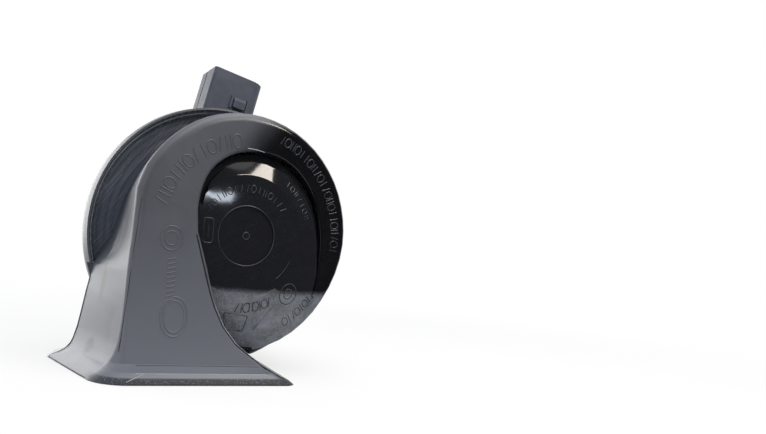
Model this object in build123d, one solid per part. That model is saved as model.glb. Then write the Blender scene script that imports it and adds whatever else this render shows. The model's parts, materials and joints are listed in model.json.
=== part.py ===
from build123d import *
import math
import os

os.makedirs("parts", exist_ok=True)

# Electric snail horn, 12 V. All sizes in millimetres, +Z up, mouth opening down, front toward -Y.
# Shapes are drawn with y = 0 at the front edge of the dish rim and then moved so that the
# seat of the mounting stud lies at the origin.

# ---- horn shells -------------------------------------------------------------------------
wall = 1.8            # moulded wall of both shells
joint_gap = 0.15      # between the two shells along their joint
dish_r = 48.0         # lip of the dish, inside edge
lip_land = 0.7        # flat of the lip
rim_out = 1.3         # the rim stands this far outside the lip's inside edge
rim_r = dish_r + rim_out
rim_lead = 4.3        # the rim reaches its full radius this far behind the lip
rim_back = 7.2        # and keeps it to here
rim_taper = 1.4       # taper of its rear edge
ledge_y = 2.7         # small ledge on the inside of the dish wall
ledge_w = 0.9
ledge_drop = 0.3      # it slopes back toward the axis by this much
wall_draft = 0.5      # the dish wall leans in this much from the lip to the ledge
floor_soft = 0.6      # corner between wall and floor
lip_drop = 0.1        # the lip slopes back by this much
rim_soft = (0.25, 1.6)  # start of the rounding between lip and rim
floor_in = 2.6        # the foot of the dish wall lies this far inside the lip
floor_r = dish_r - floor_in
floor_y = 5.6         # dish floor behind the lip
floor_t = 4.0         # dish floor where the driver is screwed on
chamber_in = 1.6      # recess in front of the diaphragm
throat_r = 7.0        # opening from the diaphragm chamber into the horn
seam_y = 3.5          # joint of the two shells outside the dish
dish_exit_z = -11.0   # the neck leaves the dish below this height
rim_cut_from = -164   # the front of the rim is left out where the neck crosses it, degrees
rim_cut_to = -68
window_top = -41.0    # the dish is open to the flare below this height
window_left = dish_r - 3.0
tail_relief = ((8.0, 3.55, -42.4), (11.4, 5.59, -39.2))  # room for the end of the arc

# Snail duct along the arc: angle from +X toward +Z, then in the radial plane the outer wall at
# the rear and at the front, the inner wall at the front and at the rear, and how far the front
# face stands ahead of the lip at its outer edge.
arc_sections = [
    (-77.5, 42.2, 41.0, 39.8, 38.4, 23.3),
    (-62, 42.3, 41.1, 39.5, 37.6, 23.3),
    (-46.5, 42.4, 41.1, 38.3, 35.7, 23.5),
    (-31, 42.6, 41.3, 35.3, 32.4, 24.2),
    (-15.5, 42.7, 41.4, 32.0, 29.0, 25.3),
    (0, 42.8, 41.5, 30.6, 27.4, 26.8),
    (13, 43.0, 41.7, 30.4, 27.2, 27.4),
    (26, 43.2, 41.9, 30.7, 27.4, 28.0),
    (39, 43.3, 42.0, 30.9, 27.6, 28.6),
    (52, 43.3, 42.1, 30.9, 27.6, 29.2),
    (65, 43.1, 42.2, 30.6, 27.3, 29.8),
    (78, 42.9, 42.2, 29.8, 26.6, 30.3),
    (90, 42.7, 42.2, 29.0, 25.8, 30.9),
    (101, 42.4, 42.2, 28.2, 25.0, 31.4),
    (112, 41.8, 42.2, 27.0, 23.8, 31.9),
    (124, 39.6, 42.1, 25.4, 22.2, 32.4),
    (137, 37.4, 42.0, 23.0, 19.8, 33.0),
    (150, 36.6, 41.9, 20.8, 17.6, 33.6),
    (162, 36.3, 41.2, 19.2, 16.0, 34.1),
]
shoulder_r = 3.4      # rounded outer shoulder of the duct
inner_edge_r = 1.2    # rounded inner edge of the duct
hollow_soft = 0.3     # least rounding inside the hollow
port_angle = 0        # the bore of the duct starts here, beside a port from the central chamber
port_end = 14
port_y = -15.0        # the port is open from here back to the dish floor
solid_end = 0.6       # depth of the recess behind the solid start of the arc

# Neck and flare below the arc: height, outer wall rear, outer wall front, inner wall front,
# inner wall rear (all toward -X), front face, hollow behind it, rear face, front left, front
# right and rear radii, and how far the sides pull in behind the joint.
neck_sections = [
    (0.0, 37.8, 39.4, 17.8, 14.6, -34.3, -32.5, 5.4, 3.2, 1.2, 0.5, 0.2),
    (-4.0, 39.2, 39.5, 16.4, 13.2, -34.3, -32.5, 5.4, 2.8, 1.2, 0.5, 0.2),
    (-8.0, 41.3, 39.7, 15.0, 11.8, -34.3, -32.5, 5.4, 2.2, 1.2, 0.5, 0.2),
    (-12.0, 44.2, 39.8, 13.7, 10.5, -34.4, -32.6, 6.2, 1.9, 1.2, 0.5, 0.9),
    (-14.0, 45.1, 39.9, 13.1, 9.9, -34.4, -32.6, 6.4, 1.8, 1.3, 0.6, 1.0),
    (-19.0, 45.7, 40.0, 11.6, 8.4, -34.5, -32.7, 7.0, 1.8, 1.4, 1.0, 1.3),
    (-24.3, 46.7, 40.2, 9.6, 6.2, -34.7, -32.9, 8.0, 1.8, 1.5, 1.5, 1.7),
    (-30.7, 47.7, 40.5, 6.3, 2.8, -35.1, -33.3, 8.9, 2.0, 1.8, 2.0, 2.0),
    (-36.5, 48.7, 41.0, 1.4, -2.4, -35.6, -33.8, 9.3, 2.6, 2.2, 2.8, 2.0),
    (-38.5, 49.2, 41.4, -1.2, -5.2, -35.9, -34.1, 9.4, 3.2, 2.3, 3.2, 1.9),
    (-41.0, 49.9, 42.1, -4.9, -9.2, -36.4, -34.6, 9.6, 4.2, 2.6, 4.0, 1.7),
    (-43.0, 50.8, 43.1, -7.7, -12.2, -37.0, -35.1, 11.4, 5.2, 3.0, 5.2, 1.4),
    (-43.8, 51.4, 43.9, -8.9, -13.5, -38.6, -35.7, 12.2, 6.2, 3.2, 6.0, 1.2),
    (-44.8, 52.4, 45.5, -10.7, -15.5, -42.3, -37.4, 13.3, 8.5, 3.6, 7.0, 0.9),
    (-46.0, 54.4, 46.8, -12.7, -17.7, -43.1, -40.0, 14.9, 9.6, 3.9, 8.4, 0.7),
    (-47.1, 57.2, 48.3, -15.4, -20.6, -43.9, -41.8, 16.9, 10.8, 4.3, 10.2, 0.4),
    (-48.2, 58.4, 48.9, -16.8, -22.2, -44.5, -42.7, 17.8, 11.5, 4.5, 11.0, 0.4),
]

# Central whorl: flat top and the cone that falls from it to the rim. Radius and distance
# ahead of the lip.
whorl_profile = [(20.3, 32.2), (20.9, 32.0), (44.0, 21.76)]
whorl_wall = 3.6
bound_lead = 0.03     # the whorl starts this far past the end of the arc, radians
bound_low = -40       # and goes down the neck to this height
whorl_disc_r = 10.0   # recessed disc in the middle
whorl_disc_in = 0.5
# Hollow between the whorl and the duct: angle and radius of its inner side
hollow_depth = 2.2
hollow_edge = [(-36, 36.4), (-22, 32.8), (-12, 30.2), (0, 28.6), (9, 27.9), (21, 27.4), (32, 27.1),
               (43, 26.8), (58, 26.8), (76, 26.0), (89, 25.5), (104, 24.9), (111, 24.3), (119, 23.2),
               (130, 22.0), (141, 20.2), (152, 18.8)]

# ---- driver ------------------------------------------------------------------------------
flange_r = 40.0       # gaskets, diaphragm and bowl flange
gasket_t = 0.6
diaphragm_t = 0.4
bead_ring_r = 26.0    # pressed bead of the diaphragm
bowl_t = 1.2
bowl_depth = 24.4     # from flange front to the outside of its bottom
bowl_corner_r = 4.0
screw_count = 6
screw_in = 2.8        # screw circle inside the flange edge
screw_circle_r = flange_r - screw_in
bowl_in = 2.8         # outside of the bowl wall inside the screw circle
bowl_r = screw_circle_r - bowl_in
gasket_in_r = bowl_r - 1.0
screw_shank_r = 1.4
screw_head_r = 2.4
screw_head_t = 1.6
screw_bite = 3.0      # length in the shell
screw_clear = 0.15
screw_start = 55      # first screw, degrees; leaves room for the connector
pole_r = 7.0
pole_gap = 0.8        # air gap to the armature at rest
core_foot_r = 10.0
core_foot_t = 2.2
stud_r = 4.0          # M8
stud_len = 17.0
stud_hole_r = 4.6
armature_r = 11.5
armature_t = 3.2
rivet_r = 1.8
rivet_head_r = 4.0
rivet_head_t = 1.0
washer_r = 7.5
washer_t = 0.8
bobbin_in_r = 7.25
bobbin_hub_t = 1.1
bobbin_flange_t = 1.2
coil_in = 1.3         # the winding stays this far inside the bobbin's flange

# ---- contact breaker, lying beside the coil on the +X side --------------------------------
breaker_r = bowl_r - 9.0                 # centre of the bracket from the axis
tuning_x = breaker_r - 2.2
breaker_w = 7.0
bracket_t = 1.4
bracket_len = 8.2
bobbin_room = 2.8     # between bracket and bobbin
bobbin_flange_r = breaker_r - bracket_len / 2 - bobbin_room
coil_r = bobbin_flange_r - coil_in
insulator_t = 1.2
insulator_len = 4.6
plate_t = 0.8
blade_t = 0.4
blade_tip = armature_r - 1.7             # the armature reaches under this end
contact_x = breaker_r - 5.2
plate_tip = contact_x - 1.8
contact_r = 1.5
pin_x = breaker_r + 1.8
pin_z = 1.9
pin_r = 0.9
pin_head_r = 1.5
tuning_r = 2.0
wire_r = 0.5
wire_bend_r = 1.6
lead_turns = ((5.6, 56.3), (3.9, 26.2))  # bends of the contact's lead: inset from the bowl, angle
wire_gap = 0.03       # between a lead and the face it is soldered to

# ---- connector -----------------------------------------------------------------------------
conn_turn = 12.7      # leans toward +X, degrees
touch_gap = 0.05      # between the connector and the curved wall of the bowl
conn_side = -5.9      # centre offset across, toward -X
conn_w = 22.0
conn_d = 19.4
conn_over = 15.7      # the housing stands this far outside the dish rim
conn_top = rim_r + conn_over
conn_under = 4.3      # and its full section starts this far inside it, cut clear of the rim
conn_step = rim_r - conn_under
rim_gap = 0.15        # between the connector and the dish rim
conn_front = 8.4      # front face behind the lip
conn_wall = 1.6
conn_corners = (1.2, 5.5, 3.0, 3.4)      # front left, front right, rear right, rear left
conn_low_corners = (1.2, 3.0, 3.0, 3.4)
conn_low_front = 12.8 # front of the stem below it
conn_foot = bowl_r - 8.4                 # start of the stem, before it is cut to the bowl
conn_socket = 12.5    # depth of the socket
latch_x = 2.5
latch_z = conn_top - 11.1
latch_w = 5.0
latch_h = 4.0
latch_out = 1.1
latch_ramp = 30       # slope of its upper side, degrees
latch_rib = (0.8, 0.9, 0.9)  # ribs beside the latch: width, depth, distance from it
latch_slit = 1.2      # slit below the latch
side_groove = (0.55, 1.0, 17.0)  # groove of the left side: place along its depth, width, length
slot_w = 14.0         # slot in the bowl wall
slot_d = 6.0
slot_len = 16.0       # reach of the slot and of the plug that fills it, along the connector
slot_fit = 0.2        # the plug is narrower than the slot
collar_over = 3.0     # the collar inside the bowl is larger than the slot
collar_t = 2.4
slot_y = 17.6
blade_w = 4.8
terminal_t = 0.8
terminal_pitch = 7.6
terminal_y = 17.0
terminal_low = bowl_r - 8.4
terminal_top = conn_top - 4.0

shell_rear = floor_y + floor_t
front_end = floor_y - 0.2
gasket_front_y = shell_rear
diaphragm_y = gasket_front_y + gasket_t
gasket_rear_y = diaphragm_y + diaphragm_t
flange_y = gasket_rear_y + gasket_t
seat_y = flange_y + bowl_depth
bowl_in_y = seat_y - bowl_t
armature_y = diaphragm_y + diaphragm_t + washer_t
blade_y = armature_y + armature_t + 0.4
fixed_plate_y = blade_y - insulator_t - plate_t
bracket_y = blade_y + blade_t + insulator_t
pole_y = armature_y + armature_t + pole_gap
bobbin_y0 = pole_y + 0.6
bobbin_y1 = bowl_in_y - core_foot_t - 0.2


def put(name, shape):
    """Move to the shared frame and write one node."""
    moved = Pos(0, -seat_y, 0) * shape
    moved.label = name
    export_step(moved, f"parts/{name}.step")


def spin(points):
    """Solid of revolution about the horn axis from (radius, y) points."""
    outline = make_face(Polyline([(r, y) for r, y in points], close=True))
    return revolve(outline, Axis.Y, 360)


def tube(r_in, r_out, y0, y1, x=0, z=0):
    """Ring or disc on an axis parallel to the horn axis."""
    plane = Plane(origin=(x, y0, z), x_dir=(1, 0, 0), z_dir=(0, 1, 0))
    solid = extrude(plane * Circle(r_out), amount=y1 - y0)
    if r_in > 0:
        solid -= extrude(plane * Circle(r_in), amount=y1 - y0)
    return solid


def rounded_loop(corners, radii):
    """Closed outline of straight sides, with an arc at each corner that has a radius."""
    starts, ends, mids = [], [], []
    count = len(corners)
    for i in range(count):
        p = Vector(*corners[i])
        if radii[i] == 0:
            starts.append(p)
            ends.append(p)
            mids.append(p)
            continue
        a = (Vector(*corners[i - 1]) - p).normalized()
        b = (Vector(*corners[(i + 1) % count]) - p).normalized()
        half = math.acos(max(-1, min(1, a.dot(b)))) / 2
        back = radii[i] / math.tan(half)
        centre = p + (a + b).normalized() * (radii[i] / math.sin(half))
        starts.append(p + a * back)
        ends.append(p + b * back)
        mids.append(centre + (p - centre).normalized() * radii[i])
    edges = []
    for i in range(count):
        if radii[i] > 0:
            edges.append(ThreePointArc(starts[i], mids[i], ends[i]))
        edges.append(Line(ends[i], starts[(i + 1) % count]))
    return make_face(edges)


def refined(rows):
    """The same rows with one more between each two, on a smooth curve through them."""
    out = []
    last = len(rows) - 1
    for i in range(last):
        before, a, b, after = rows[max(0, i - 1)], rows[i], rows[i + 1], rows[min(last, i + 2)]
        out.append(a)
        out.append(tuple((9 * (q + r) - p - s) / 16 for p, q, r, s in zip(before, a, b, after)))
    return out + [rows[last]]


def on_cone(r):
    """How far the whorl's cone stands ahead of the lip at a radius."""
    (r0, d0), (r1, d1) = whorl_profile[-2:]
    return d0 + (d1 - d0) * (r - r0) / (r1 - r0)


def at_angle(radius, turn):
    return (radius * math.cos(turn), radius * math.sin(turn))


def wall_profile(outer_end, outer_face, inner_face, inner_end, end_y, face_y, floors, radii,
                 inner_stop=None, inner_face_y=None):
    """Channel section of one duct wall: two sides and a face, open at end_y. The hollow ends
    at one y beside the outer side and one beside the inner side."""
    sign = 1 if outer_end > inner_end else -1
    t = wall * sign
    near_y = face_y if inner_face_y is None else inner_face_y
    deep = [(end_y - y) / (end_y - top) for y, top in zip(floors, (face_y, near_y))]
    outer_deep = outer_end + (outer_face - outer_end) * deep[0] - t
    inner_deep = inner_end + (inner_face - inner_end) * deep[1] + t
    stop = end_y if inner_stop is None else inner_stop
    inner_end += (inner_face - inner_end) * (end_y - stop) / (end_y - near_y)
    corners = [(outer_end, end_y), (outer_face, face_y), (inner_face, near_y), (inner_end, stop),
               (inner_end + t, stop), (inner_deep, floors[1]), (outer_deep, floors[0]),
               (outer_end - t, end_y)]
    soft = min(hollow_soft, 0.3 * abs(outer_deep - inner_deep), 0.4 * abs(end_y - floors[0]))
    hollow = [min(max(soft, r - wall), 0.8 * abs(end_y - y)) for r, y in zip(radii, floors)]
    return rounded_loop(corners, [0, radii[0], radii[1], 0, 0, hollow[1], hollow[0], 0])


def level(z):
    """Section plane of the neck at one height, drawn toward -X."""
    return Plane(origin=(0, 0, z), x_dir=(-1, 0, 0), z_dir=(0, 0, -1))


def front_duct():
    """Arc, neck and front half of the flare as one moulded wall."""
    faces = []
    for angle, outer_rear, outer_front, inner_front, inner_rear, ahead in refined(arc_sections):
        turn = math.radians(angle)
        plane = Plane(origin=(0, 0, 0), x_dir=(math.cos(turn), 0, math.sin(turn)),
                      z_dir=(-math.sin(turn), 0, math.cos(turn)))
        inner_ahead = max(ahead, on_cone(inner_front))
        room = min(1.0, (outer_front - inner_front) / (1.3 * (shoulder_r + inner_edge_r)))
        bore = (wall - ahead, wall - inner_ahead)
        solid = (front_end - solid_end, front_end - solid_end)
        faces.append(plane * wall_profile(outer_rear, outer_front, inner_front, inner_rear, front_end,
                                          -ahead, bore if angle >= port_angle else solid,
                                          (shoulder_r * room, inner_edge_r * room),
                                          port_y if port_angle < angle < port_end else None,
                                          -inner_ahead))
    for row in neck_sections:
        z, outer_rear, outer_front, inner_front, inner_rear, face_y, hollow_y = row[:7]
        end_y = front_end if z > dish_exit_z else seam_y
        faces.append(level(z) * wall_profile(outer_rear, outer_front, inner_front, inner_rear, end_y,
                                             face_y, (hollow_y, hollow_y), row[8:10]))
    return loft(faces, ruled=True)


def rear_duct():
    """Rear half of the neck and flare behind the joint."""
    faces = []
    for row in neck_sections:
        z, outer_rear, inner_rear, rear, soft, pull = row[0], row[1], row[4], row[7], row[10], row[11]
        if z > dish_exit_z:
            continue
        faces.append(level(z) * wall_profile(outer_rear, outer_rear - pull, inner_rear + pull,
                                             inner_rear, seam_y + joint_gap, rear,
                                             (rear - wall, rear - wall), (soft, soft)))
    return loft(faces, ruled=True)


def whorl_bound():
    """Outline of the whorl: the middle of the duct's inner wall."""
    points = []
    for angle, outer_rear, outer_front, inner_front, inner_rear, ahead in arc_sections:
        r = 0.55 * inner_front + 0.45 * inner_rear + wall / 2
        if angle < port_angle:
            r = 0.5 * (outer_front + inner_front)
        start = 0 if points else bound_lead
        points.append(at_angle(r, math.radians(angle) + start))
    for row in neck_sections:
        if row[0] > bound_low:
            points.append((-(0.7 * row[3] + 0.3 * row[4]) - wall / 2, row[0]))
    return points


def hollow_bound():
    """Outline of the hollow between the whorl and the duct."""
    inner = [at_angle(r, math.radians(a)) for a, r in hollow_edge]
    outer = [at_angle(r + 3, math.radians(a)) for a, r in
             [(row[0], row[3]) for row in arc_sections if hollow_edge[0][0] < row[0] < hollow_edge[-1][0]]]
    return inner + outer[::-1]


def prism(points, y0, y1):
    """Straight block on an outline in the X-Z plane."""
    face = make_face(Polyline(points, close=True))
    return Pos(0, y1, 0) * extrude(Plane.XZ * face, amount=y1 - y0)


def whorl():
    """Flat top, cone and hollow as a thin moulded wall."""
    top = [(0, -whorl_profile[0][1])] + [(r, -d) for r, d in whorl_profile]
    flat_r, flat_ahead = whorl_profile[0]
    low_r, low_ahead = whorl_profile[-1]
    under = [(low_r, whorl_wall - low_ahead), (flat_r, whorl_wall - flat_ahead), (0, whorl_wall - flat_ahead)]
    skin = spin(top + under) & prism(whorl_bound(), -40, 0)
    first = flat_r - 5
    above = spin([(first, -60), (first, hollow_depth - on_cone(first)),
                  (low_r, hollow_depth - low_ahead), (low_r, -60)])
    return skin - (above & prism(hollow_bound(), -40, 0))


def front_horn_shell():
    plate = whorl()
    disc_y = whorl_disc_in - whorl_profile[0][1]
    plate -= tube(0, whorl_disc_r, disc_y - 2, disc_y)
    return front_duct() + plate


def sector(start, end, radius, steps=12):
    """Pie slice outline between two angles in degrees."""
    turns = [math.radians(start + (end - start) * i / steps) for i in range(steps + 1)]
    return [(0, 0)] + [at_angle(radius, turn) for turn in turns]


def rear_horn_shell():
    land = dish_r + lip_land
    wall_r = dish_r - wall_draft
    dish = spin([(dish_r, 0.0), (land, lip_drop), (rim_r - rim_soft[0], rim_lead - rim_soft[1]),
                 (rim_r, rim_lead), (rim_r, rim_back), (rim_r - rim_taper, shell_rear),
                 (gasket_in_r, shell_rear), (gasket_in_r - 2, shell_rear - chamber_in),
                 (throat_r, shell_rear - chamber_in), (throat_r, floor_y), (floor_r, floor_y),
                 (floor_r + floor_soft, floor_y - floor_soft), (wall_r - ledge_w, ledge_y + ledge_drop),
                 (wall_r, ledge_y)])
    slice_points = sector(rim_cut_from, rim_cut_to, rim_r + 20)
    dish -= prism(slice_points, -10, seam_y + joint_gap)
    window = [(-window_left, window_top)]
    window += [(-row[4] - wall / 2, row[0]) for row in neck_sections if row[0] <= window_top]
    window += [(20, -60), (-window_left, -60)]
    dish -= prism(window, 0, 40)
    low, high = tail_relief
    span = [h - l for l, h in zip(low, high)]
    middle = [(h + l) / 2 for l, h in zip(low, high)]
    return dish + rear_duct() - Pos(*middle) * Box(*span)


def diaphragm():
    rear = gasket_rear_y
    bead = [(bead_ring_r - 2.4, 0), (bead_ring_r, -0.9), (bead_ring_r + 2.4, 0)]
    near = [(r, diaphragm_y + d) for r, d in bead]
    far = [(r, rear + d) for r, d in reversed(bead)]
    return spin([(rivet_r, diaphragm_y)] + near + [(flange_r, diaphragm_y), (flange_r, rear)] + far
                + [(rivet_r, rear)])


def around(shape, count, radius, start=0):
    """The same shape repeated round the horn axis."""
    turn = [math.radians(start + 360 / count * i) for i in range(count)]
    return [Pos(radius * math.cos(a), 0, radius * math.sin(a)) * shape for a in turn]


def screw_holes(y0, y1, radius):
    return around(tube(0, radius, y0, y1), screw_count, screw_circle_r, screw_start)


def drilled(solid, tools):
    for tool in tools:
        solid -= tool
    return solid


def driver_bowl():
    inside = bowl_r - bowl_t
    corner = bowl_corner_r
    bowl = spin([(inside, flange_y), (flange_r, flange_y), (flange_r, flange_y + bowl_t),
                 (bowl_r, flange_y + bowl_t), (bowl_r, seat_y - corner),
                 (bowl_r - 0.3 * corner, seat_y - 0.3 * corner), (bowl_r - corner, seat_y),
                 (stud_hole_r, seat_y), (stud_hole_r, bowl_in_y), (inside - corner + 0.5, bowl_in_y),
                 (inside - 0.3 * corner, bowl_in_y - 0.3 * corner + 0.3), (inside, bowl_in_y - corner)])
    bowl -= tube(0, tuning_r, bowl_in_y - 1, seat_y + 1, tuning_x)
    bowl -= conn_place() * (Pos(0, slot_y, bowl_r - slot_len / 4) * Box(slot_w, slot_d, slot_len))
    return drilled(bowl, screw_holes(flange_y - 1, flange_y + 3, screw_shank_r + screw_clear))


def driver_screws():
    head_y = flange_y + bowl_t
    one = tube(0, screw_shank_r, shell_rear - screw_bite, head_y)
    one += tube(0, screw_head_r, head_y, head_y + screw_head_t)
    one -= Pos(0, head_y + screw_head_t, 0) * Box(3.2, 1.2, 0.7)
    return around(one, screw_count, screw_circle_r, screw_start)


def fixed_core():
    return spin([(0, pole_y), (pole_r - 0.4, pole_y), (pole_r, pole_y + 0.4),
                 (pole_r, bowl_in_y - core_foot_t), (core_foot_r, bowl_in_y - core_foot_t),
                 (core_foot_r, bowl_in_y), (stud_hole_r - 0.05, bowl_in_y), (stud_hole_r - 0.05, seat_y),
                 (stud_r, seat_y), (stud_r, seat_y + stud_len - 0.8), (stud_r - 0.8, seat_y + stud_len),
                 (0, seat_y + stud_len)])


def coil_bobbin():
    hub = bobbin_in_r + bobbin_hub_t
    return spin([(bobbin_in_r, bobbin_y0), (bobbin_flange_r, bobbin_y0),
                 (bobbin_flange_r, bobbin_y0 + bobbin_flange_t), (hub, bobbin_y0 + bobbin_flange_t),
                 (hub, bobbin_y1 - bobbin_flange_t), (bobbin_flange_r, bobbin_y1 - bobbin_flange_t),
                 (bobbin_flange_r, bobbin_y1), (bobbin_in_r, bobbin_y1)])


def coil_winding():
    return tube(bobbin_in_r + bobbin_hub_t + 0.05, coil_r, bobbin_y0 + bobbin_flange_t + 0.05,
                bobbin_y1 - bobbin_flange_t - 0.05)


def armature():
    return spin([(rivet_r, armature_y), (armature_r, armature_y),
                 (armature_r, armature_y + armature_t - 0.4), (armature_r - 0.4, armature_y + armature_t),
                 (rivet_r, armature_y + armature_t)])


def armature_rivet():
    head_y = diaphragm_y - washer_t
    return spin([(0, head_y - rivet_head_t), (rivet_head_r - 0.8, head_y - rivet_head_t),
                 (rivet_head_r, head_y - 0.3), (rivet_head_r, head_y), (rivet_r, head_y),
                 (rivet_r, armature_y + armature_t - 0.2), (0, armature_y + armature_t - 0.2)])


def breaker_bracket():
    depth = bowl_in_y - bracket_y
    t = bracket_t
    base = Pos(breaker_r, bowl_in_y - t / 2, 0) * Box(bracket_len, t, breaker_w)
    top = Pos(breaker_r, bracket_y + t / 2, 0) * Box(bracket_len, t, breaker_w)
    upright = Pos(breaker_r + (bracket_len - t) / 2, bracket_y + depth / 2, 0) * Box(t, depth, breaker_w)
    bracket = base + top + upright
    bracket -= tube(0, tuning_r + 0.3, bowl_in_y - 2 * t, bowl_in_y + 1, tuning_x)
    return drilled(bracket, pin_holes(bracket_y - 1, bracket_y + t + 1, pin_r))


def pin_holes(y0, y1, radius):
    return [tube(0, radius, y0, y1, pin_x, z) for z in (-pin_z, pin_z)]


def breaker_strip(y0, t, x0, x1):
    """Flat spring or contact strip lying in the stack."""
    strip = Pos((x0 + x1) / 2, y0 + t / 2, 0) * Box(x1 - x0, t, breaker_w - 1)
    return drilled(strip, pin_holes(y0 - 1, y0 + t + 1, pin_r))


def breaker_insulators():
    out = []
    for y0 in (fixed_plate_y + plate_t, blade_y + blade_t):
        piece = Pos(pin_x, y0 + insulator_t / 2, 0) * Box(insulator_len, insulator_t, breaker_w)
        out.append(drilled(piece, pin_holes(y0 - 1, y0 + insulator_t + 1, pin_r)))
    return out


def breaker_pins():
    out = []
    for z in (-pin_z, pin_z):
        pin = tube(0, pin_r, fixed_plate_y - 0.7, bracket_y + bracket_t + 0.7, pin_x, z)
        pin += tube(0, pin_head_r, fixed_plate_y - 0.7, fixed_plate_y, pin_x, z)
        pin += tube(0, pin_head_r, bracket_y + bracket_t, bracket_y + bracket_t + 0.7, pin_x, z)
        out.append(pin)
    return out


def contact_buttons():
    half = insulator_t / 2
    first = fixed_plate_y + plate_t
    return [tube(0, contact_r, first, first + half - 0.02, contact_x),
            tube(0, contact_r, first + half + 0.02, blade_y, contact_x)]


def tuning_screw():
    end_y = seat_y + 1.2
    screw = tube(0, tuning_r, bracket_y + bracket_t, end_y, tuning_x)
    return screw - Pos(tuning_x, end_y, 0) * Box(5, 1.4, 0.6)


def conn_place():
    """Frame of the connector: local Z outward along it, X across, Y as the horn's."""
    return Rot(0, conn_turn, 0) * Pos(conn_side, 0, 0)


def conn_block(width, y0, y1, z0, z1, radii):
    """Upright block with its own corner radii: front left, front right, rear right, rear left."""
    w = width / 2
    loop = rounded_loop([(-w, y0), (w, y0), (w, y1), (-w, y1)], radii)
    return extrude(Plane.XY.offset(z0) * loop, amount=z1 - z0)


def connector_housing():
    y1 = conn_front + conn_d
    body = conn_block(conn_w, conn_front, y1, conn_step, conn_top, conn_corners)
    body += conn_block(conn_w, conn_low_front, y1, conn_foot, conn_step + 1,
                       conn_low_corners)
    inner = tuple(max(0.6, r - conn_wall) for r in conn_corners)
    body -= conn_block(conn_w - 2 * conn_wall, conn_front + conn_wall, y1 - conn_wall,
                       conn_top - conn_socket, conn_top + 1, inner)
    latch = Pos(latch_x, conn_front - latch_out / 2, latch_z) * Box(latch_w, latch_out, latch_h)
    latch -= Pos(latch_x, conn_front - latch_out, latch_z + latch_h / 2) * (
        Rot(-latch_ramp, 0, 0) * Box(latch_w + 1, 1.2, 4))
    body += latch
    slit_z = latch_z - latch_h / 2 - 0.75 * latch_slit
    body -= Pos(latch_x, conn_front + 0.4, slit_z) * Box(latch_w - 1, 1.6, latch_slit)
    rib_w, rib_d, rib_off = latch_rib
    for side in (-1, 1):
        rib = Pos(latch_x + side * (latch_w / 2 + rib_off), conn_front - rib_d / 3, latch_z)
        body += rib * Box(rib_w, rib_d, latch_h + 1.2)
    groove_at, groove_w, groove_len = side_groove
    groove = Pos(-conn_w / 2, conn_front + groove_at * conn_d, conn_top - 8)
    body -= groove * Box(0.8, groove_w, groove_len)
    placed = conn_place() * body
    placed -= tube(0, bowl_r + touch_gap, 0, 60)
    placed -= tube(0, rim_r + rim_gap, 0, shell_rear + rim_gap)
    inside = bowl_r - bowl_t
    plug_size = (slot_w - slot_fit, slot_d - slot_fit, slot_len)
    placed += conn_place() * (Pos(0, slot_y, bowl_r) * Box(*plug_size)) - tube(0, inside - collar_t, 0, 60)
    collar_size = (slot_w + collar_over, slot_d + collar_over, slot_len)
    collar = conn_place() * (Pos(0, slot_y, bowl_r - slot_len / 4) * Box(*collar_size))
    placed += collar & tube(inside - collar_t, inside - touch_gap, 0, 60)
    return drilled(placed, [conn_place() * t for t in terminal_blocks()])


def terminal_blocks():
    length = terminal_top - terminal_low
    return [Pos(side * terminal_pitch / 2, terminal_y, terminal_low + length / 2)
            * Box(blade_w, terminal_t, length) for side in (-1, 1)]


def connector_terminals():
    out = []
    for block in terminal_blocks():
        out.append(conn_place() * chamfer(block.faces().sort_by(Axis.Z)[-1].edges(), 0.3))
    return out


def wire(points):
    path = FilletPolyline(*[Vector(*p) for p in points], radius=wire_bend_r)
    return sweep(Plane(origin=path @ 0, z_dir=path % 0) * Circle(wire_r), path=path)


def lead_wires():
    ends = [conn_place() * Pos(side * terminal_pitch / 2, terminal_y + terminal_t / 2 + wire_r + wire_gap,
                               terminal_low + 1.5) for side in (-1, 1)]
    left, right = [(p.position.X, p.position.Y, p.position.Z) for p in ends]
    coil = wire([left, (left[0] - 1.0, 19.2, left[2] - 3), (left[0] * 0.8, 21.0, coil_r + 0.6)])
    strip_end = pin_x + insulator_len / 2 + wire_r
    strip_mid = blade_y + blade_t / 2
    upper, lower = [at_angle(bowl_r - inset, math.radians(turn)) for inset, turn in lead_turns]
    contact = wire([right, (upper[0], 17.6, upper[1]), (lower[0], 16.2, lower[1]),
                    (strip_end + 0.3, strip_mid, 6.0), (strip_end, strip_mid, 1.0)])
    return [coil, contact]


def group(solids):
    return Compound(children=list(solids))


put("front_horn_shell", front_horn_shell())
put("rear_horn_shell", drilled(rear_horn_shell(), screw_holes(shell_rear - screw_bite, 20, screw_shank_r)))
for name, y0 in (("diaphragm_gasket_front", gasket_front_y), ("diaphragm_gasket_rear", gasket_rear_y)):
    ring = tube(gasket_in_r, flange_r, y0, y0 + gasket_t)
    put(name, drilled(ring, screw_holes(y0 - 1, y0 + 2, screw_shank_r + screw_clear)))
put("diaphragm", drilled(diaphragm(), screw_holes(diaphragm_y - 1, diaphragm_y + 2,
                                                  screw_shank_r + screw_clear)))
put("driver_bowl", driver_bowl())
put("driver_screws", group(driver_screws()))
put("fixed_core_stud", fixed_core())
put("coil_bobbin", coil_bobbin())
put("coil_winding", coil_winding())
put("armature", armature())
put("armature_rivet", armature_rivet())
put("armature_washers", group([tube(rivet_r, washer_r, diaphragm_y - washer_t, diaphragm_y),
                               tube(rivet_r, washer_r, gasket_rear_y, gasket_rear_y + washer_t)]))
put("breaker_bracket", breaker_bracket())
put("contact_spring", breaker_strip(blade_y, blade_t, blade_tip, pin_x + insulator_len / 2))
put("fixed_contact_plate", breaker_strip(fixed_plate_y, plate_t, plate_tip, pin_x + insulator_len / 2))
put("contact_buttons", group(contact_buttons()))
put("breaker_insulators", group(breaker_insulators()))
put("breaker_pins", group(breaker_pins()))
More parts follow.
